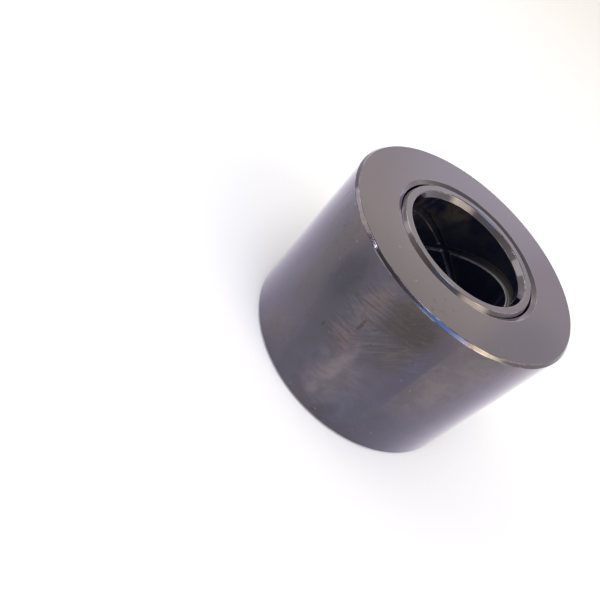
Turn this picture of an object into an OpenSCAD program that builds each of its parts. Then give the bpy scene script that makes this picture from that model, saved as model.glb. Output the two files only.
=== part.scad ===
// Yoke-type cam follower: a thick roller tyre on two caged rows of cylindrical rollers and an
// inner ring, whose bore carries crossed grease grooves for the pin that holds it in a fork.
// The spin axis is Z, and the origin is the bore's centre at mid-width.

/* [Roller tyre] */
// Outside diameter of the tyre
tyre_d = 100; // [84:1:140]
// Width of the tyre across its end faces
tyre_w = 69; // [58:1:90]
// Chamfer at the tread's two edges
tread_chamfer = 1; // [0.4:0.1:3]
// Width of the lip that closes each end of the tyre's bore
lip_w = 8; // [5:0.5:11]
// Width of the rib between the two raceways
rib_w = 3; // [2:0.5:6]
// Chamfer of each lip's mouth, across the face
mouth_r = 1.7; // [0.5:0.05:3]
// Chamfer of each lip's mouth, along the axis
mouth_z = 1; // [0.4:0.1:3]

/* [Inner ring] */
// Bore for the pin
bore_d = 50; // [40:1:60]
// Wall between the bore and the inner raceway
ring_wall = 5; // [4:0.25:7]
// How far the ring's faces stand proud of the tyre's, so that the fork grips the ring alone
ring_proud = 0.1; // [0.05:0.05:0.5]
// Lead-in chamfer of the bore, across the face
lead_r = 1.4; // [0.4:0.1:2]
// Lead-in chamfer of the bore, along the axis
lead_z = 2.3; // [0.5:0.1:4]
// Chamfer of the ring's outer edge, across the face
rim_r = 1; // [0.3:0.05:1.5]
// Chamfer of the ring's outer edge, along the axis
rim_z = 1.4; // [0.3:0.1:2]

/* [Grease grooves] */
// Width of a groove along the axis
groove_w = 3.2; // [2:0.1:5]
// Depth of a groove into the ring's wall
groove_depth = 1.2; // [0.5:0.1:2]
// From the ring's face to the middle of the groove at its crest
groove_margin = 6.7; // [5:0.1:12]
// How far each pair of loops reaches past mid-width
groove_overlap = 2.1; // [1:0.1:6]
// Direction of the crests, turned from X about the axis
groove_turn = 15; // [0:5:355]
// Diameter of the feed holes where the two pairs of loops cross
feed_d = 3; // [2:0.25:4]

/* [Rolling set] */
// Diameter of a roller
roller_d = 8; // [6.5:0.1:9.6]
// Rollers in each of the two rows
rollers_per_row = 18; // [12:1:19]
// Chamfer at a roller's ends
roller_chamfer = 0.5; // [0.2:0.1:1]
// Radial thickness of a cage
cage_wall = 4; // [3:0.1:4.8]
// Width of the ring at each end of a cage
cage_end = 2.5; // [1.5:0.1:4]
// Width of the split in each cage, which lets it be sprung into the tyre
cage_split = 0.8; // [0.4:0.1:1.2]
// Depth and half the width of the grinding relief in the raceway's corners
relief = 0.5; // [0.2:0.1:0.8]

/* [Clearances] */
// Radial gap between a roller and each raceway
race_gap = 0.08; // [0.06:0.01:0.1]
// Gap all round a roller in its pocket
pocket_gap = 0.15; // [0.08:0.01:0.3]
// Gap at each end of a roller
roller_end_gap = 0.2; // [0.1:0.05:0.5]
// Gap between a cage and the lip or the rib beside it
cage_end_gap = 0.3; // [0.1:0.05:0.6]
// Radial gap between a lip and the inner ring
lip_gap = 0.4; // [0.3:0.05:1]
// How far the rib stops short of the inner ring, which leaves room for grease
rib_gap = 2; // [1:0.1:3]

/* [Hidden] */
ROWS = ["upper", "lower"];
$fn = 144;
past = 1; // how far a cut runs on past the surface that it opens

blackened = [0.27, 0.25, 0.27];
ground = [0.62, 0.62, 0.64];
polyamide = [0.76, 0.70, 0.56];

// the rings' radii, from the bore outwards
bore_r = bore_d / 2;
inner_race_r = bore_r + ring_wall;
pitch_r = inner_race_r + race_gap + roller_d / 2;
outer_race_r = pitch_r + roller_d / 2 + race_gap;
lip_r = inner_race_r + lip_gap;
rib_r = inner_race_r + rib_gap;
tyre_r = tyre_d / 2;

// the space for one row, and what fits in it
tyre_end = tyre_w / 2;
ring_end = tyre_end + ring_proud;
row_low = rib_w / 2;
row_high = tyre_end - lip_w;
row_z = (row_low + row_high) / 2;
cage_w = row_high - row_low - 2 * cage_end_gap;
pocket_l = cage_w - 2 * cage_end;
roller_l = pocket_l - 2 * roller_end_gap;
pitch_angle = 360 / rollers_per_row;

// each groove loop is a flat cut tilted across the bore, so it rises and falls as a cosine
crest_z = ring_end - groove_margin;
loop_rise = (crest_z + groove_overlap) / 2;
loop_z = (crest_z - groove_overlap) / 2;
loop_tilt = atan(loop_rise / bore_r);
feed_angle = acos(loop_z / loop_rise);

function roller_name(row, i) = str(row, "_roller_", i < 10 ? "0" : "", i);
function side(row) = row == "upper" ? 1 : -1;

// Corners of a cylinder's half section with a chamfer at both ends, on the outer side
function chamfered(r, half_l, chamfer_r, chamfer_z) = [
    [r - chamfer_r, half_l], [r, half_l - chamfer_z],
    [r, chamfer_z - half_l], [r - chamfer_r, -half_l]
];

// One raceway's outline inside the tyre, from the rib out to the lip, on the side s of mid-width
function raceway(s) = [
    [rib_r, s * row_low],
    [outer_race_r + relief, s * row_low],
    [outer_race_r + relief, s * (row_low + 2 * relief)],
    [outer_race_r, s * (row_low + 2 * relief)],
    [outer_race_r, s * (row_high - 2 * relief)],
    [outer_race_r + relief, s * (row_high - 2 * relief)],
    [outer_race_r + relief, s * row_high],
    [lip_r, s * row_high],
    [lip_r, s * (tyre_end - mouth_z)],
    [lip_r + mouth_r, s * tyre_end]
];

function reversed(list) = [for (i = [len(list) - 1:-1:0]) list[i]];

module outer_ring() {
    tread = chamfered(tyre_r, tyre_end, tread_chamfer, tread_chamfer);
    color(blackened)
        rotate_extrude()
            polygon(concat(tread, reversed(raceway(-1)), raceway(1)));
}

// A flat band tilted across the bore, kept only where it cuts into the ring's wall. The band is
// twice as long as the bore is wide, so it still reaches across when the tilt is steep.
module groove_loop(z, turn) {
    cut_r = bore_r + groove_depth;
    intersection() {
        translate([0, 0, z]) rotate([0, -loop_tilt, turn])
            cube([4 * cut_r, 4 * cut_r, groove_w * cos(loop_tilt)], center = true);
        difference() {
            cylinder(r = cut_r, h = 2 * ring_end, center = true);
            cylinder(r = bore_r - past, h = 2 * (ring_end + past), center = true);
        }
    }
}

module grease_grooves() {
    for (z = [loop_z, -loop_z], turn = [0, 180])
        groove_loop(z, groove_turn + turn);
    for (turn = [0, 180], s = [-1, 1])
        rotate([0, 90, groove_turn + turn + s * feed_angle])
            cylinder(d = feed_d, h = inner_race_r + past);
}

module inner_ring() {
    rim = chamfered(inner_race_r, ring_end, rim_r, rim_z);
    bore = [
        [bore_r + lead_r, -ring_end], [bore_r, lead_z - ring_end],
        [bore_r, ring_end - lead_z], [bore_r + lead_r, ring_end]
    ];
    color(blackened) difference() {
        rotate_extrude() polygon(concat(rim, bore));
        grease_grooves();
    }
}

// A split window cage whose bars wrap the rollers, so that they snap in from inside
module cage(row) {
    through = cage_w + 2 * past;
    color(polyamide) translate([0, 0, side(row) * row_z]) difference() {
        cylinder(r = pitch_r + cage_wall / 2, h = cage_w, center = true);
        cylinder(r = pitch_r - cage_wall / 2, h = through, center = true);
        for (i = [1:rollers_per_row])
            rotate([0, 0, (i - 1) * pitch_angle]) translate([pitch_r, 0, 0])
                cylinder(d = roller_d + 2 * pocket_gap, h = pocket_l, center = true);
        rotate([0, 0, pitch_angle / 2]) translate([pitch_r, 0, 0])
            cube([2 * cage_wall, cage_split, through], center = true);
    }
}

module roller(row, i) {
    half = chamfered(roller_d / 2, roller_l / 2, roller_chamfer, roller_chamfer);
    color(ground) rotate([0, 0, (i - 1) * pitch_angle])
        translate([pitch_r, 0, side(row) * row_z])
            rotate_extrude($fn = 48)
                polygon(concat([[0, roller_l / 2]], half, [[0, -roller_l / 2]]));
}

outer_ring();
inner_ring();
for (row = ROWS) cage(row);
for (row = ROWS, i = [1:rollers_per_row])
    roller(row, i);
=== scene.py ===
import bpy
import numpy as np
from mathutils import Matrix, Vector


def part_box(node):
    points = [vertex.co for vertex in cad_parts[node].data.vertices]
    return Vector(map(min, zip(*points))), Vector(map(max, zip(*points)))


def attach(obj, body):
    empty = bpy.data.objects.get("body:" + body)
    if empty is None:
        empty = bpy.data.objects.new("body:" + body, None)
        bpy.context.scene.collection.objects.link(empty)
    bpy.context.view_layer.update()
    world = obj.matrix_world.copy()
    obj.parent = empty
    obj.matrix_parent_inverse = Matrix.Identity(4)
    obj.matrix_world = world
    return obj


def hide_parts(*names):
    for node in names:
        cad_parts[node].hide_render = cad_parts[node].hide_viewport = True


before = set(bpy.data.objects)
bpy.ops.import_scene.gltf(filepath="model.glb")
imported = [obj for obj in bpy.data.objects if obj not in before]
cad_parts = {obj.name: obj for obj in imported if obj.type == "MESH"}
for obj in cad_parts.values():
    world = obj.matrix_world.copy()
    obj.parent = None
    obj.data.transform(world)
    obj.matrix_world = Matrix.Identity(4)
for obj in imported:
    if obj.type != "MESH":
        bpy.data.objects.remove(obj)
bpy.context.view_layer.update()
print("frame loaded:", len(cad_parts), "nodes")

mm = 0.001
tyreLow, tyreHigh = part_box("outer_ring")
ringLow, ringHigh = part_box("inner_ring")
tyreEnd = tyreHigh.z / mm  # half the tyre's width
ringEnd = ringHigh.z / mm  # half the inner ring's width, a hair more than the tyre's
tyreR = tyreHigh.x / mm
raceR = ringHigh.x / mm    # the inner ring's outside, on which the rollers run
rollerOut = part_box("upper_roller_01")[1].x / mm


def roundCorners(corners, radii, steps=4, guard=0.12):
    # Each corner P with unit directions a and b to its neighbours becomes an arc of the given
    # radius that touches both sides at a distance radius / tan(half the angle) from P. Its points
    # swing evenly about the arc's centre, and a guard point beyond each end keeps the flats flat.
    p = np.asarray(corners, float)
    back, on = np.roll(p, 1, axis=0) - p, np.roll(p, -1, axis=0) - p
    a = back / np.linalg.norm(back, axis=1, keepdims=True)
    b = on / np.linalg.norm(on, axis=1, keepdims=True)
    half = np.arccos(np.clip((a * b).sum(1), -1, 1)) / 2
    radius = np.broadcast_to(np.asarray(radii, float), half.shape)
    touch = (radius / np.tan(half))[:, None]
    middle = (a + b) / np.linalg.norm(a + b, axis=1, keepdims=True)
    centre = p + middle * (radius / np.sin(half))[:, None]
    start, end = p + a * touch - centre, p + b * touch - centre
    swing = (np.pi - 2 * half)[:, None, None]
    t = np.linspace(0, 1, steps + 1)[None, :, None]
    arc = (np.sin((1 - t) * swing) * start[:, None] + np.sin(t * swing) * end[:, None]) / np.sin(swing)
    first, last = p + a * (touch + guard), p + b * (touch + guard)
    points = np.concatenate([first[:, None], arc + centre[:, None], last[:, None]], axis=1)
    onArc = np.ones(points.shape[:2])
    onArc[:, [0, -1]] = 0
    return points, onArc


def ringMesh(name, r, z, edge):
    # A closed tube of quads: point (i, j) stands at radius r[i, j] and height z[i, j] in
    # direction j of a full turn. Rows and columns both close on themselves.
    rows, columns = r.shape
    turn = np.linspace(0, 2 * np.pi, columns, endpoint=False)
    points = np.stack([r * np.cos(turn), r * np.sin(turn), z], axis=-1).reshape(-1, 3) * mm
    i, j = np.meshgrid(np.arange(rows), np.arange(columns), indexing="ij")
    iNext, jNext = (i + 1) % rows, (j + 1) % columns
    quads = np.stack([i * columns + j, i * columns + jNext,
                      iNext * columns + jNext, iNext * columns + j], axis=-1).reshape(-1, 4)
    mesh = bpy.data.meshes.new(name)
    mesh.vertices.add(len(points))
    mesh.vertices.foreach_set("co", points.ravel())
    mesh.loops.add(quads.size)
    mesh.loops.foreach_set("vertex_index", quads.ravel())
    mesh.polygons.add(len(quads))
    mesh.polygons.foreach_set("loop_start", np.arange(0, quads.size, 4))
    mesh.update(calc_edges=True)
    mesh.validate()
    mesh.polygons.foreach_set("use_smooth", np.ones(len(mesh.polygons), bool))
    # the edge attribute marks where the material paints bright: rubbed edges that also carry painted
    # highlights, and the painted highlight lines beside the grooves
    paintedBright = mesh.attributes.new("edge", "FLOAT", "POINT")
    paintedBright.data.foreach_set("value", np.broadcast_to(edge, r.shape).ravel().astype(np.float32))
    piece = bpy.data.objects.new(name, mesh)
    bpy.context.scene.collection.objects.link(piece)
    return piece


tyre = dict(
    columns=360,          # steps round the axis
    treadChamfer=1.0,     # mm, as all the sizes below
    mouthAcross=1.7, mouthAlong=1.0,
    lipWidth=8.0, lipGap=0.4, ribWidth=3.0, ribGap=2.0, raceGap=0.08, relief=0.5,
    treadRound=0.35, mouthRound=0.25, hiddenRound=0.1,
)


def buildTyre(p):
    # The outline runs up the tread, in over the upper face and down through the mouth, the lip
    # and the raceways. The lower half is the upper one mirrored.
    low, high = p["ribWidth"] / 2, tyreEnd - p["lipWidth"]
    lip, rib, race = raceR + p["lipGap"], raceR + p["ribGap"], rollerOut + p["raceGap"]
    deep, step = race + p["relief"], 2 * p["relief"]
    upper = [
        (tyreR, tyreEnd - p["treadChamfer"]), (tyreR - p["treadChamfer"], tyreEnd),
        (lip + p["mouthAcross"], tyreEnd), (lip, tyreEnd - p["mouthAlong"]),
        (lip, high), (deep, high), (deep, high - step), (race, high - step),
        (race, low + step), (deep, low + step), (deep, low), (rib, low),
    ]
    radii = [p["treadRound"]] * 2 + [p["mouthRound"]] * 2 + [p["hiddenRound"]] * 8
    corners = np.array(upper + [(r, -z) for r, z in reversed(upper)])
    points, edge = roundCorners(corners, radii + radii[::-1])
    outline = points.reshape(-1, 2, 1) * np.ones(p["columns"])
    return ringMesh("tyre", outline[:, 0], outline[:, 1], edge.reshape(-1, 1))


ring = dict(
    columns=320, boreRows=210,
    rimAcross=1.0, rimAlong=1.4, boreR=25.0, leadAcross=1.4, leadAlong=2.3,
    rimRound=0.2, leadRound=0.6,
    grooveWidth=3.2, grooveDepth=1.2, grooveEdge=0.45,
    crestFromFace=6.7,    # from the ring's face to a crest's middle
    pastMiddle=2.1,       # how far each pair of loops reaches over mid-width
    crestTurn=15.0,       # degrees from X
    feedHole=3.0,         # diameter
    drillLong=10.0, drillIn=3.5,         # the drill's length, and its middle's depth under the race
    fineSteps=1600, crowding=5, crowdReach=0.6,  # how strongly the rows gather at a groove's edges
    grooveGlintPast=0.1, grooveGlintReach=0.3,         # the painted highlight line beside a groove
)


def buildRing(p):
    # The outline goes round the ring's section, and the bore's wall is a grid of its own whose
    # radius is the bore's plus the depth of the nearest groove.
    crest = ringEnd - p["crestFromFace"]
    rise, middle = (crest + p["pastMiddle"]) / 2, (crest - p["pastMiddle"]) / 2
    corners = [
        (raceR - p["rimAcross"], -ringEnd), (raceR, p["rimAlong"] - ringEnd),
        (raceR, ringEnd - p["rimAlong"]), (raceR - p["rimAcross"], ringEnd),
        (p["boreR"] + p["leadAcross"], ringEnd), (p["boreR"], ringEnd - p["leadAlong"]),
        (p["boreR"], p["leadAlong"] - ringEnd), (p["boreR"] + p["leadAcross"], -ringEnd),
    ]
    radii = [p["rimRound"]] * 4 + [p["leadRound"]] * 4
    points, edge = roundCorners(corners, radii)
    top, bottom = points[5, -1, 1], points[6, 0, 1]

    # Four loops rise and fall as cosines of the turn. In each column the rows crowd together
    # where a groove's two edges are, by inverting the running sum of their density.
    turn = np.linspace(0, 2 * np.pi, p["columns"], endpoint=False)
    wave = rise * np.cos(turn - np.radians(p["crestTurn"]))
    loops = np.stack([middle + wave, middle - wave, wave - middle, -wave - middle])
    fine = np.linspace(bottom, top, p["fineSteps"])
    toEdge = np.abs(np.abs(fine[:, None, None] - loops) - p["grooveWidth"] / 2)
    density = 1 + p["crowding"] * np.exp(-(toEdge / p["crowdReach"]) ** 2).sum(1)
    run = np.cumsum(density, axis=0)
    run = (run - run[0]) / (run[-1] - run[0])
    share = np.linspace(1, 0, p["boreRows"] + 2)[1:-1]
    z = np.stack([np.interp(share, run[:, j], fine) for j in range(p["columns"])], axis=1)

    # The groove's section is a flat floor with edges that ease out as a smooth step.
    away = np.abs(z[:, None] - loops).min(1)
    into = np.clip((p["grooveWidth"] / 2 + p["grooveEdge"] / 2 - away) / p["grooveEdge"], 0, 1)
    r = p["boreR"] + p["grooveDepth"] * into * into * (3 - 2 * into)
    # a painted highlight line just past each groove's edge, carried in the edge attribute
    lip = np.clip(1 - np.abs(away - p["grooveWidth"] / 2 - p["grooveGlintPast"]) / p["grooveGlintReach"], 0, 1)

    flat = points.reshape(-1, 2, 1) * np.ones(p["columns"])
    cut = 6 * points.shape[1]  # the bore's rows go in after the sixth corner
    edge = edge.reshape(-1, 1) * np.ones(p["columns"])
    piece = ringMesh(
        "bore_ring", np.concatenate([flat[:cut, 0], r, flat[cut:, 0]]),
        np.concatenate([flat[:cut, 1], z, flat[cut:, 1]]), np.concatenate([edge[:cut], lip, edge[cut:]]))
    drillFeedHoles(piece, p, np.degrees(np.arccos(middle / rise)))
    return piece


def drillFeedHoles(piece, p, fromCrest):
    # A round hole goes through the wall wherever an upper loop crosses a lower one: at the given
    # angle to each side of a crest.
    drills = []
    lie = Matrix.Rotation(np.pi / 2, 4, "Y")
    out = Matrix.Translation((raceR * mm - p["drillIn"] * mm, 0, 0))
    for crest in (p["crestTurn"], p["crestTurn"] + 180):
        for side in (-1, 1):
            bpy.ops.mesh.primitive_cylinder_add(
                vertices=40, radius=p["feedHole"] / 2 * mm, depth=p["drillLong"] * mm)
            drill = bpy.context.object
            way = Matrix.Rotation(np.radians(crest + side * fromCrest), 4, "Z")
            drill.data.transform(way @ out @ lie)
            drill.matrix_world = Matrix.Identity(4)
            drills.append(drill)
    holes = bpy.data.collections.new("drills")
    for drill in drills:
        for home in list(drill.users_collection):
            home.objects.unlink(drill)
        holes.objects.link(drill)
    cut = piece.modifiers.new("feedHoles", "BOOLEAN")
    cut.operand_type, cut.collection, cut.solver = "COLLECTION", holes, "EXACT"
    done = bpy.data.meshes.new_from_object(piece.evaluated_get(bpy.context.evaluated_depsgraph_get()))
    piece.modifiers.clear()
    piece.data = done
    for drill in drills:
        bpy.data.objects.remove(drill)
    bpy.data.collections.remove(holes)


tyrePiece = buildTyre(tyre)
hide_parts("outer_ring")
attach(tyrePiece, "outer_ring")
print("tyre built:", len(tyrePiece.data.polygons), "faces")

ringPiece = buildRing(ring)
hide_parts("inner_ring")
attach(ringPiece, "inner_ring")
print("inner ring built:", len(ringPiece.data.polygons), "faces")


class Nodes:
    # Shorthand for a node tree: add() makes a node, sets its fields, and links or sets its inputs.
    def __init__(self, tree):
        self.tree = tree

    def add(self, kind, inputs=None, **fields):
        node = self.tree.nodes.new(kind)
        for key, value in fields.items():
            setattr(node, key, value)
        for key, value in (inputs or {}).items():
            if isinstance(value, bpy.types.NodeSocket):
                self.tree.links.new(value, node.inputs[key])
            else:
                node.inputs[key].default_value = value
        return node

    def math(self, operation, *values, clamp=False):
        node = self.add("ShaderNodeMath", dict(enumerate(values)), operation=operation, use_clamp=clamp)
        return node.outputs[0]

    def noise(self, vector, scale, detail=2.0, roughness=0.5, distortion=0.0):
        return self.add("ShaderNodeTexNoise", {"Vector": vector, "Scale": scale, "Detail": detail,
                        "Roughness": roughness, "Distortion": distortion}).outputs["Fac"]

    def span(self, value, low, high, outLow=0.0, outHigh=1.0):
        return self.add("ShaderNodeMapRange", {"Value": value, "From Min": low, "From Max": high,
                        "To Min": outLow, "To Max": outHigh}, interpolation_type="SMOOTHSTEP").outputs[0]

    def blend(self, factor, a, b, mode="MIX"):
        node = self.add("ShaderNodeMix", data_type="RGBA", blend_type=mode)
        for socket, value in ((node.inputs[0], factor), (node.inputs[6], a), (node.inputs[7], b)):
            if isinstance(value, bpy.types.NodeSocket):
                self.tree.links.new(value, socket)
            else:
                socket.default_value = value
        return node.outputs[2]

    def moved(self, vector, shift=(0, 0, 0), scale=(1, 1, 1)):
        return self.add("ShaderNodeVectorMath", {0: vector, 1: scale, 2: shift},
                        operation="MULTIPLY_ADD").outputs[0]


def startMaterial(name):
    material = bpy.data.materials.new(name)
    material.use_nodes = True
    material.node_tree.nodes.clear()
    n = Nodes(material.node_tree)
    place = n.add("ShaderNodeTexCoord").outputs["Object"]
    shader = n.add("ShaderNodeBsdfPrincipled")
    n.add("ShaderNodeOutputMaterial", {"Surface": shader.outputs[0]})
    return material, n, place, shader


def fromAxis(n, place):
    # a point's distance from the axis, and its height above mid-width
    flat = n.moved(place, scale=(1, 1, 0))
    radius = n.add("ShaderNodeVectorMath", {0: flat}, operation="LENGTH").outputs["Value"]
    height = n.add("ShaderNodeSeparateXYZ", {0: place}).outputs["Z"]
    return radius, height


def fromSpot(n, place, direction, middle, across, along):
    # how far a point of the tread is from a spot on it: 1 on the edge of an ellipse of the given
    # half width and half height
    a = np.radians(direction)
    spot = (tyreR * mm * np.cos(a), tyreR * mm * np.sin(a), middle * mm)
    local = n.add("ShaderNodeMapping", {"Vector": place, "Location": spot, "Rotation": (0, 0, a),
                  "Scale": (20 * mm, across * mm, along * mm)}, vector_type="TEXTURE").outputs[0]
    return n.add("ShaderNodeVectorMath", {0: local}, operation="LENGTH").outputs["Value"]


def pastDirection(n, place, direction, blur):
    # 0 on one side of a direction and 1 past it, counted anticlockwise, with a blur in mm
    a = np.radians(direction)
    beside = (-np.sin(a), np.cos(a), 0)
    across = n.add("ShaderNodeVectorMath", {0: place, 1: beside}, operation="DOT_PRODUCT").outputs["Value"]
    return n.span(across, -blur * mm, blur * mm)


blackened = dict(
    faces=(0.074, 0.066, 0.074, 1), plain=(0.073, 0.062, 0.094, 1),
    slate=(0.056, 0.050, 0.077, 1), rose=(0.094, 0.070, 0.082, 1), olive=(0.080, 0.072, 0.066, 1),
    oilBrown=(0.030, 0.023, 0.019, 1),   # oil drying in smears on the tread
    oilTan=(0.135, 0.105, 0.092, 1),     # where a smear has been wiped thin
    mottle=(0.032, 0.026, 0.040, 1),     # small darker patches in the oxide
    stain=(0.016, 0.014, 0.018, 1),
    bareAndHighlight=(0.34, 0.32, 0.31, 1),          # where an edge has rubbed through, and the painted highlight along edges and grooves
    glancing=(0.82, 0.74, 0.95, 1),      # the oxide's colour at a low angle
    # in the bore: its darker, bluer colour, the painted warm reflection, and the painted light on the
    # grooves' floors
    bore=(0.006, 0.009, 0.024, 1), boreWarmLight=(0.066, 0.056, 0.048, 1), litGrooveFloor=(0.13, 0.12, 0.11, 1),
    # blots on the tread: direction in degrees, height, half width, half height in mm, colour, strength
    blots=(
        (228, 24, 9, 13, (0.036, 0.032, 0.042, 1), 0.6), (236, 8, 8, 22, (0.048, 0.044, 0.044, 1), 0.7),
        (247, 18, 8, 18, (0.012, 0.012, 0.026, 1), 0.9), (252, 0, 9, 12, (0.040, 0.034, 0.048, 1), 0.6),
        (264, 22, 5, 13, (0.124, 0.096, 0.090, 1), 0.7), (265, 3, 6, 8, (0.124, 0.080, 0.092, 1), 0.7),
        (272, -14, 10, 17, (0.138, 0.116, 0.136, 1), 0.75),
        (270, -10, 3, 19, (0.168, 0.140, 0.148, 1), 0.55),
        (279, 25, 13, 13, (0.018, 0.008, 0.006, 1), 0.9), (282, 10, 10, 10, (0.040, 0.034, 0.042, 1), 0.6),
        (292, 10, 5, 24, (0.050, 0.046, 0.094, 1), 0.75), (288, -20, 10, 13, (0.080, 0.078, 0.130, 1), 0.6),
        (312, -22, 16, 13, (0.056, 0.052, 0.092, 1), 0.75), (305, 12, 6, 12, (0.130, 0.098, 0.100, 1), 0.5),
        (80, 10, 16, 15, (0.110, 0.090, 0.096, 1), 0.6), (130, -12, 12, 18, (0.032, 0.027, 0.028, 1), 0.5),
        (20, 5, 9, 20, (0.045, 0.040, 0.060, 1), 0.6), (165, 16, 10, 14, (0.098, 0.086, 0.080, 1), 0.5),
    ),
    # the side was wiped up to a straight edge here, and is rosier past it
    wiped=(303, 13, 15, 24, (0.134, 0.108, 0.116, 1), 0.6), wipedFrom=294.8,
    # hands have smeared the oil, in strokes that lean this many degrees from level
    leans=(14, 56),
    # and in these places: direction, height, half width, half height
    smears=((271, 19, 21, 16), (262, 4, 9, 9), (100, 12, 18, 16), (190, -10, 12, 14), (30, 20, 10, 10)),
    # runs of oil along the tread: direction, height of the middle, half length
    oilRuns=(
        (221.5, 25, 9), (214.5, 27, 6), (265, 12, 4), (254, -1, 2),
        (60, 8, 10), (143, 18, 7), (5, -14, 8),
    ),
    runWidth=0.9,                        # half a run's width
    # how strongly each of these covers what is under it
    shares=dict(mottle=0.35, oilTan=0.24, oilBrown=0.55, bead=0.8, stain=0.6, nick=0.45, rubAndHighlight=0.6),
    # sizes of the patterns, in waves to the metre
    grain=dict(zone=27, patch=140, stroke=1050, hand=38, oil=42, bead=560, wipe=420, turned=2600,
               group=48, stain=330, nick=210, rubAndHighlight=95, paintedBoreGlow=65, film=190),
    roughness=0.10, smudge=0.06,
    boreRoughness=0.26,                  # the bore is honed, not polished
    boreDull=0.45,                       # and a haze of grease dulls its metal
    oilRoughness=0.045,
    relief=0.03, film=0.06,              # depth in mm of the steel's marks, and of the oil's
)


def blackenedSteel(name, look):
    material, n, place, shader = startMaterial(name)
    grain, shares = look["grain"], look["shares"]
    radius, height = fromAxis(n, place)
    # the tread is 1 on the side and most of its chamfers, and the bore between its lead-ins
    onTread = n.span(radius, (tyreR - 1.2) * mm, (tyreR - 0.9) * mm)
    wall = (ring["boreR"] + ring["grooveDepth"] + 0.6) * mm  # a little past the grooves' floor
    start = (ringEnd - ring["leadAlong"]) * mm
    inBore = n.math("MULTIPLY", n.span(radius, wall + mm, wall),
                    n.span(n.math("ABSOLUTE", height), start + 0.1 * mm, start - 0.5 * mm))

    # the oxide drifts between slate, plain, rose and olive in cloudy zones, with larger blots listed one by
    # one
    zone = n.noise(n.moved(place, scale=(1, 1, 0.5)), grain["zone"], detail=4, distortion=0.5)
    patch = n.noise(place, grain["patch"], detail=5, roughness=0.6, distortion=0.8)
    ragged = n.math("SUBTRACT", patch, 0.5)
    drift = n.math("MULTIPLY_ADD", ragged, 0.16, zone)
    tint = n.blend(n.span(drift, 0.40, 0.49), look["slate"], look["plain"])
    tint = n.blend(n.span(drift, 0.50, 0.57), tint, look["rose"])
    tint = n.blend(n.span(drift, 0.58, 0.64), tint, look["olive"])
    for direction, middle, across, along, colour, strength in look["blots"]:
        spread = fromSpot(n, place, direction, middle, across, along)
        spread = n.math("MULTIPLY_ADD", ragged, 0.7, spread)
        tint = n.blend(n.span(spread, 1.25, 0.25, 0.0, strength), tint, colour)
    direction, middle, across, along, colour, strength = look["wiped"]
    spread = fromSpot(n, place, direction, middle, across, along)
    spread = n.math("MULTIPLY_ADD", ragged, 0.5, spread)
    spread = n.math("MULTIPLY", n.span(spread, 1.25, 0.3, 0.0, strength),
                    pastDirection(n, place, look["wipedFrom"], 0.5))
    tint = n.blend(spread, tint, colour)

    # hand wiping leaves streaks that lean one way or another, where the oil lies thicker
    strokes = []
    for lean in look["leans"]:
        slant = n.add("ShaderNodeMapping", {"Vector": place, "Rotation": (0, np.radians(-lean), 0),
                      "Scale": (14, 1, 1)}, vector_type="TEXTURE").outputs[0]
        strokes.append(n.noise(slant, grain["stroke"], detail=4, roughness=0.68))
    other = n.span(n.noise(place, grain["hand"], detail=3), 0.46, 0.54)
    stroke = n.math("MULTIPLY_ADD", n.math("SUBTRACT", strokes[1], strokes[0]), other, strokes[0])
    smeared = 0.0
    for direction, middle, across, along in look["smears"]:
        spread = fromSpot(n, place, direction, middle, across, along)
        spread = n.math("MULTIPLY_ADD", ragged, 1.6, spread)
        smeared = n.math("MAXIMUM", smeared, n.span(spread, 1.1, 0.5))
    thick = n.span(n.noise(place, grain["oil"], detail=3), 0.50, 0.64, 0.0, 0.6)
    thick = n.math("MAXIMUM", smeared, thick)
    streaks = n.math("MULTIPLY", thick, n.span(stroke, 0.48, 0.62))
    thin = n.math("MULTIPLY", smeared, n.span(stroke, 0.50, 0.38))
    tint = n.blend(n.math("MULTIPLY", n.span(patch, 0.38, 0.64), shares["mottle"]), tint, look["mottle"])
    tint = n.blend(n.math("MULTIPLY", thin, shares["oilTan"]), tint, look["oilTan"])
    tint = n.blend(n.math("MULTIPLY", streaks, shares["oilBrown"]), tint, look["oilBrown"])
    # beads of oil run along the axis in short broken lines
    bead = n.noise(place, grain["bead"], detail=3, roughness=0.6)
    beads = 0.0
    for direction, middle, along in look["oilRuns"]:
        line = fromSpot(n, place, direction, middle, look["runWidth"], along)
        line = n.math("MULTIPLY_ADD", ragged, 1.2, line)
        beads = n.math("MAXIMUM", beads, n.span(line, 1.0, 0.6))
    beads = n.math("MULTIPLY", beads, n.span(bead, 0.42, 0.50))
    tint = n.blend(n.math("MULTIPLY", beads, shares["bead"]), tint, look["stain"])
    tint = n.blend(onTread, look["faces"], tint)
    streaks = n.math("MULTIPLY", streaks, onTread)

    # wipe marks run along the axis, turning marks round it
    wipe = n.noise(n.moved(place, scale=(1, 1, 0.06)), grain["wipe"], detail=3, roughness=0.65)
    section = n.add("ShaderNodeCombineXYZ", {"X": radius, "Y": height}).outputs[0]
    turned = n.noise(section, grain["turned"], detail=3, roughness=0.7)
    # small dark stains and light nicks, in loose groups
    groups = n.span(n.noise(place, grain["group"], detail=2), 0.50, 0.62)
    stain = n.span(n.noise(place, grain["stain"], detail=4, roughness=0.7), 0.62, 0.70)
    stain = n.math("MULTIPLY", groups, stain)
    spot = n.add("ShaderNodeTexVoronoi", {"Vector": place, "Scale": grain["nick"], "Randomness": 1.0})
    nick = n.math("MULTIPLY", n.span(spot.outputs["Distance"], 0.12, 0.03), groups)
    tint = n.blend(n.math("MULTIPLY", stain, shares["stain"]), tint, look["stain"])
    tint = n.blend(n.math("MULTIPLY", nick, shares["nick"]), tint, look["bareAndHighlight"])
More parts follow.
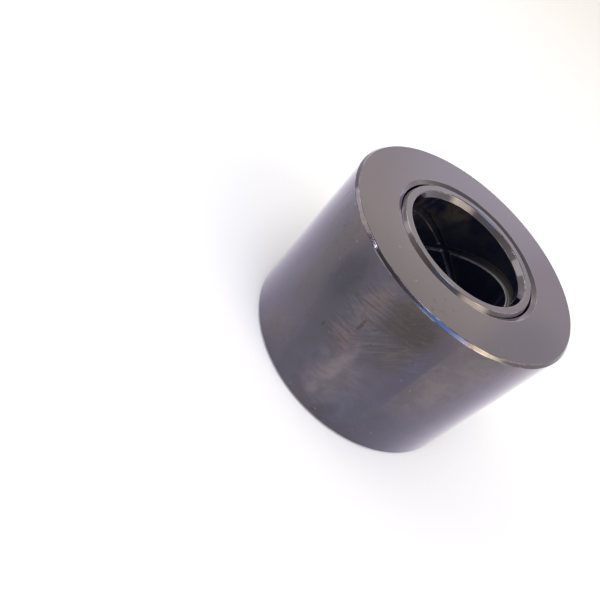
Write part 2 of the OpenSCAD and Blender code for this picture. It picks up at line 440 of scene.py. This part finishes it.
    # the edges are rubbed bright in broken stretches, which also paint highlights along the chamfers and
    # beside the grooves
    edge = n.add("ShaderNodeAttribute", attribute_name="edge").outputs["Fac"]
    rubbedAndHighlight = n.span(n.noise(place, grain["rubAndHighlight"], detail=4, roughness=0.65), 0.46, 0.62)
    rubbedAndHighlight = n.math("MULTIPLY", edge, rubbedAndHighlight)
    # inside the bore the steel is dull and painted darker and bluer, with a painted warm reflection over it
    # in cloudy patches
    crest = np.radians(ring["crestTurn"])
    toCrest = n.add("ShaderNodeVectorMath", {0: place, 1: (np.cos(crest), np.sin(crest), 0)},
                    operation="DOT_PRODUCT").outputs["Value"]
    # the painted reflection is strongest near the mouths, fading deeper inside, and on the side away from
    # that crest
    near = n.span(n.math("ABSOLUTE", height), 15 * mm, 30 * mm, 0.12, 1.0)
    near = n.math("MULTIPLY", near, n.span(toCrest, 5 * mm, -8 * mm, 0.25, 1.0))
    paintedBoreGlow = n.span(n.noise(place, grain["paintedBoreGlow"], detail=5, roughness=0.6), 0.42, 0.62)
    paintedBoreGlow = n.math("MULTIPLY", near, paintedBoreGlow)
    tint = n.blend(inBore, tint, n.blend(paintedBoreGlow, look["bore"], look["boreWarmLight"]))
    # painted highlight: the grooves' edges and floors are painted lighter towards one crest, the side where
    # the light falls
    paintedBright = n.span(toCrest, 2 * mm, 25 * mm, 0.07, 0.90)
    grooveEdge = n.math("MULTIPLY", n.math("MULTIPLY", edge, inBore), paintedBright)
    litGrooveFloor = n.span(radius, (ring["boreR"] + 0.6) * mm, (ring["boreR"] + 1.1) * mm)
    litGrooveFloor = n.math("MULTIPLY", n.math("MULTIPLY", litGrooveFloor, inBore), paintedBright)
    tint = n.blend(litGrooveFloor, tint, look["litGrooveFloor"])
    rubbedAndHighlight = n.math("MAXIMUM", n.math("MULTIPLY", rubbedAndHighlight, shares["rubAndHighlight"]), grooveEdge)
    tint = n.blend(rubbedAndHighlight, tint, look["bareAndHighlight"])

    rough = n.math("MULTIPLY_ADD", n.span(patch, 0.35, 0.7), look["smudge"], look["roughness"])
    rough = n.math("MULTIPLY_ADD", n.span(wipe, 0.45, 0.75), look["smudge"] * 0.8, rough)
    rough = n.math("MULTIPLY_ADD", inBore, look["boreRoughness"], rough)
    rough = n.math("MULTIPLY_ADD", streaks, 0.12, rough)
    rough = n.math("MULTIPLY_ADD", stain, 0.18, rough, clamp=True)
    relief = n.math("MULTIPLY_ADD", turned, 0.25, n.math("MULTIPLY", patch, 0.35))
    relief = n.math("MULTIPLY_ADD", wipe, 0.2, relief)
    relief = n.math("MULTIPLY_ADD", nick, -1.5, relief)
    bump = n.add("ShaderNodeBump", {"Strength": 0.35, "Distance": look["relief"] * mm, "Height": relief})
    # the oil film stands in shallow waves, streaks and beads of its own
    film = n.math("MULTIPLY", n.noise(place, grain["film"], detail=3), 0.45)
    film = n.math("MULTIPLY_ADD", stain, 0.5, film)
    film = n.math("MULTIPLY_ADD", streaks, 0.4, film)
    film = n.math("MULTIPLY_ADD", beads, 1.2, film)
    oil = n.add("ShaderNodeBump", {"Strength": 0.35, "Distance": look["film"] * mm, "Height": film})

    n.tree.links.new(tint, shader.inputs["Base Color"])
    n.tree.links.new(rough, shader.inputs["Roughness"])
    n.tree.links.new(n.math("MULTIPLY_ADD", inBore, -look["boreDull"], 1.0), shader.inputs["Metallic"])
    n.tree.links.new(bump.outputs[0], shader.inputs["Normal"])
    n.tree.links.new(oil.outputs[0], shader.inputs["Coat Normal"])
    shader.inputs["Specular Tint"].default_value = look["glancing"]
    shader.inputs["Coat Weight"].default_value = 1.0  # a film of oil covers it all
    shader.inputs["Coat Roughness"].default_value = look["oilRoughness"]
    return material


ground = dict(steel=(0.60, 0.60, 0.62, 1), shade=(0.50, 0.51, 0.54, 1), roughness=0.14, relief=0.01)


def groundSteel(name, look):
    # fine grinding lines round each roller, with a faint drift in tone
    material, n, place, shader = startMaterial(name)
    lines = n.noise(n.moved(place, scale=(0.15, 0.15, 1)), 5200, detail=2, roughness=0.6)
    drift = n.noise(place, 180, detail=3)
    tint = n.blend(n.span(drift, 0.35, 0.7), look["steel"], look["shade"])
    rough = n.math("MULTIPLY_ADD", lines, 0.12, look["roughness"])
    bump = n.add("ShaderNodeBump", {"Strength": 0.25, "Distance": look["relief"] * mm, "Height": lines})
    n.tree.links.new(tint, shader.inputs["Base Color"])
    n.tree.links.new(rough, shader.inputs["Roughness"])
    n.tree.links.new(bump.outputs[0], shader.inputs["Normal"])
    shader.inputs["Metallic"].default_value = 1.0
    return material


moulded = dict(light=(0.62, 0.55, 0.40, 1), dark=(0.52, 0.45, 0.31, 1), roughness=0.42, relief=0.05)


def mouldedPolyamide(name, look):
    # a greased cream plastic with the faint orange peel of its mould
    material, n, place, shader = startMaterial(name)
    drift = n.noise(place, 90, detail=4, roughness=0.6)
    peel = n.noise(place, 1500, detail=2)
    tint = n.blend(n.span(drift, 0.35, 0.7), look["light"], look["dark"])
    rough = n.math("MULTIPLY_ADD", drift, 0.15, look["roughness"])
    bump = n.add("ShaderNodeBump", {"Strength": 0.3, "Distance": look["relief"] * mm, "Height": peel})
    n.tree.links.new(tint, shader.inputs["Base Color"])
    n.tree.links.new(rough, shader.inputs["Roughness"])
    n.tree.links.new(bump.outputs[0], shader.inputs["Normal"])
    shader.inputs["Subsurface Weight"].default_value = 0.15
    shader.inputs["Subsurface Scale"].default_value = 2 * mm
    return material


def finishWith(piece, material):
    piece.data.materials.clear()
    piece.data.materials.append(material)


finishWith(tyrePiece, blackenedSteel("blackenedTyreSteel", blackened))
finishWith(ringPiece, blackenedSteel("blackenedRingSteel", blackened))
rollerSteel = groundSteel("groundRollerSteel", ground)
cagePlastic = mouldedPolyamide("mouldedCagePolyamide", moulded)
for name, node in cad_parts.items():
    if "_roller_" in name:
        finishWith(node, rollerSteel)
    elif name.endswith("_cage"):
        finishWith(node, cagePlastic)
print("materials set")


studio = dict(
    floorColour=(0.87, 0.875, 0.87, 1), floorRoughness=0.9, floorHalf=3.0,  # metres
    # each stop is a height, from the horizon at 0 to overhead at 1, and a colour
    skyBehind=((0.0, (0.95, 0.93, 0.95, 1)), (0.30, (1.00, 0.94, 0.97, 1)),
               (0.40, (1.03, 0.96, 0.98, 1)), (0.50, (1.50, 1.36, 1.22, 1)),
               (0.64, (1.00, 0.96, 0.92, 1)), (0.80, (0.70, 0.68, 0.69, 1)),
               (1.0, (0.66, 0.65, 0.66, 1))),
    skyInFront=((0.0, (0.95, 0.93, 0.95, 1)), (0.34, (0.95, 0.90, 0.93, 1)),
                (0.54, (0.90, 0.84, 0.88, 1)), (0.66, (0.44, 0.38, 0.35, 1)),
                (0.82, (0.40, 0.36, 0.34, 1)), (0.92, (0.66, 0.65, 0.66, 1))),
    # soft glows: azimuth, height and spread in degrees, and the colour that each adds
    glows=((-24, 30, 26, (2.9, 2.5, 1.85, 1)), (-6, 39, 15, (3.8, 3.4, 2.4, 1)),
           (93, 23, 9, (0.20, 0.24, 0.25, 1))),
    # and a soft shade, whose colour multiplies the sky's
    shades=((79.0, 29.6, 4.6, (0.74, 0.78, 0.88, 1)),),
    # soft lamps: name, azimuth, height in degrees, distance and size in metres, power, colour
    lamps=(("keyAbove", -78, 72, 1.2, (0.70, 0.50), 3.8, (1.0, 0.99, 0.98)),
           ("leftFill", 172, 38, 0.8, (0.70, 0.45), 1.4, (1.0, 0.98, 0.94)),
           ("blueFront", -62, 50, 1.0, (0.96, 0.22), 1.9, (0.14, 0.40, 1.0)),
           ("leftSparkle", -156, 47, 0.9, (0.22, 0.012), 0.16, (1.0, 1.0, 1.0))),
)

view = dict(
    # the camera looks down on the near side of the face, and leans well over to its left
    right=(0.6592, 0.5449, 0.5180), up=(-0.7434, 0.3699, 0.5570),
    place=(0, -4.346, 2.190),  # in tyre radii from the middle of the upper face
    lens=38.85, sensor=36.0,
)


def buildFloor(look):
    # a plain pale square at the height of the ring's lower face
    half, z = look["floorHalf"], ringLow.z
    mesh = bpy.data.meshes.new("floor")
    corners = [(-half, -half, z), (half, -half, z), (half, half, z), (-half, half, z)]
    mesh.from_pydata(corners, [], [(0, 1, 2, 3)])
    floor = bpy.data.objects.new("floor", mesh)
    bpy.context.scene.collection.objects.link(floor)
    material = bpy.data.materials.new("paleFloor")
    material.use_nodes = True
    shader = material.node_tree.nodes["Principled BSDF"]
    shader.inputs["Base Color"].default_value = look["floorColour"]
    shader.inputs["Roughness"].default_value = look["floorRoughness"]
    shader.inputs["Specular IOR Level"].default_value = 0.1
    mesh.materials.append(material)


def skySpot(n, way, azimuth, elevation, spread):
    # a soft spot round one direction: full at its middle, nothing past its spread in degrees
    a, e = np.radians(azimuth), np.radians(elevation)
    middle = (np.cos(e) * np.cos(a), np.cos(e) * np.sin(a), np.sin(e))
    near = n.add("ShaderNodeVectorMath", {0: way, 1: middle}, operation="DOT_PRODUCT").outputs["Value"]
    return n.span(near, float(np.cos(np.radians(spread))), 1.0)


def buildSky(look):
    # the colour changes with height, and between the side behind the piece and the one in front
    world = bpy.data.worlds.new("studioSky")
    world.use_nodes = True
    bpy.context.scene.world = world
    world.node_tree.nodes.clear()
    n = Nodes(world.node_tree)
    way = n.add("ShaderNodeTexCoord").outputs["Generated"]
    part = n.add("ShaderNodeSeparateXYZ", {0: way}).outputs
    sides = []
    for side in ("skyInFront", "skyBehind"):
        ramp = n.add("ShaderNodeValToRGB", {0: part["Z"]})
        stops = ramp.color_ramp.elements
        while len(stops) < len(look[side]):
            stops.new(0.5)
        for stop, (at, colour) in zip(stops, look[side]):
            stop.position, stop.color = at, colour
        sides.append(ramp.outputs[0])
    sky = n.blend(n.span(part["Y"], -0.35, 0.45), sides[0], sides[1])
    for azimuth, elevation, spread, colour in look["glows"]:
        sky = n.blend(skySpot(n, way, azimuth, elevation, spread), sky, colour, "ADD")
    for azimuth, elevation, spread, colour in look["shades"]:
        sky = n.blend(skySpot(n, way, azimuth, elevation, spread), sky, colour, "MULTIPLY")
    glow = n.add("ShaderNodeBackground", {"Color": sky, "Strength": 1.0})
    n.add("ShaderNodeOutputWorld", {"Surface": glow.outputs[0]})


def softLight(name, azimuth, elevation, distance, size, power, colour):
    # an oval lamp that faces the origin
    light = bpy.data.lights.new(name, "AREA")
    light.shape, light.size, light.size_y = "ELLIPSE", size[0], size[1]
    light.energy, light.color = power, colour
    lamp = bpy.data.objects.new(name, light)
    a, e = np.radians(azimuth), np.radians(elevation)
    way = Vector((np.cos(e) * np.cos(a), np.cos(e) * np.sin(a), np.sin(e)))
    lamp.location = way * distance
    lamp.rotation_euler = way.to_track_quat("Z", "Y").to_euler()
    bpy.context.scene.collection.objects.link(lamp)


def buildCamera(p):
    # up is squared to right, and the camera's back is right crossed with up
    right, up = Vector(p["right"]).normalized(), Vector(p["up"])
    up = (up - right * up.dot(right)).normalized()
    back = right.cross(up)
    place = Vector((0, 0, tyreHigh.z)) + Vector(p["place"]) * tyreHigh.x
    lens = bpy.data.cameras.new("camera")
    lens.lens, lens.sensor_width, lens.clip_start = p["lens"], p["sensor"], 10 * mm
    camera = bpy.data.objects.new("camera", lens)
    turn = Matrix((right, up, back)).transposed().to_4x4()
    camera.matrix_world = Matrix.Translation(place) @ turn
    bpy.context.scene.collection.objects.link(camera)
    bpy.context.scene.camera = camera


buildFloor(studio)
buildSky(studio)
for lamp in studio["lamps"]:
    softLight(*lamp)
buildCamera(view)
bpy.context.scene.view_settings.view_transform = "Standard"
print("floor, light and camera set")
